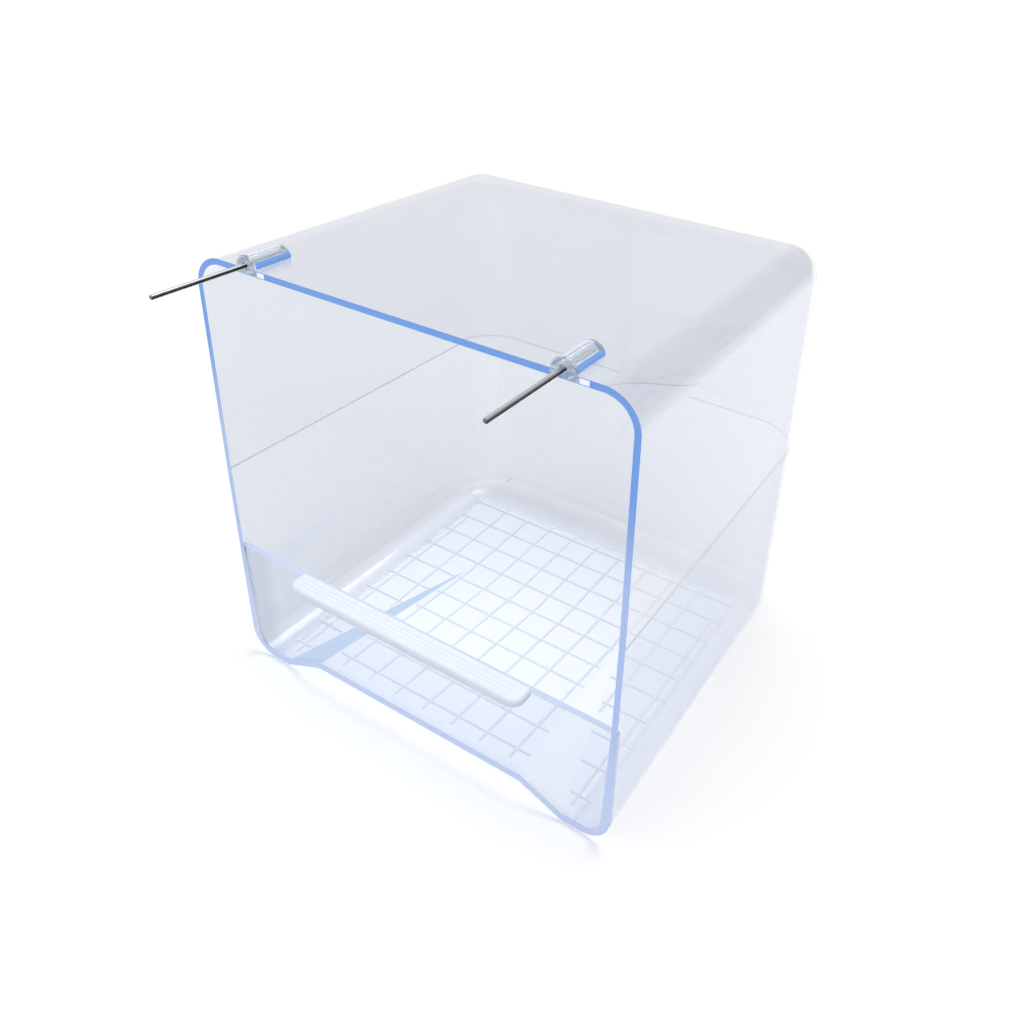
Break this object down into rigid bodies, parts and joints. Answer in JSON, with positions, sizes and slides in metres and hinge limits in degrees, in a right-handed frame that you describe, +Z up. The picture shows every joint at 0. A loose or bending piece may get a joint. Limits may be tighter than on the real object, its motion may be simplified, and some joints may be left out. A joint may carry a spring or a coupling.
{
  "type": "hang-on bird bath",
  "caption": "Clear box-shaped bird bath, open at the front above a low sill with a grooved perch ledge, ribbed floor, and wire pins that hang it on a cage.",
  "frame": {"origin": "bottom centre of the whole bath: on the surface its feet stand on, on the middle plane, half way between the pin tips and the back face", "axes": "+X to the right as one looks into the mouth, +Y from the mouth to the back, +Z up"},
  "size_m": [0.14, 0.1544, 0.1455],
  "materials": {
    "hood_plastic": "clear polished, faint blue in its edges",
    "tray_plastic": "clear polished, faint blue in its edges",
    "pin_wire": "drawn bright wire"
  },
  "bodies": {
    "bath": {"hood": "hood_plastic", "tray": "tray_plastic"},
    "left_pin": {"pin_left": "pin_wire"},
    "right_pin": {"pin_right": "pin_wire"}
  },
  "joints": [
    {"name": "left_pin_pull", "type": "slide", "parent": "bath", "child": "left_pin", "axis": [0, -1, 0], "range_m": [0, 0.014]},
    {"name": "right_pin_pull", "type": "slide", "parent": "bath", "child": "right_pin", "axis": [0, -1, 0], "range_m": [0, 0.014]}
  ]
}
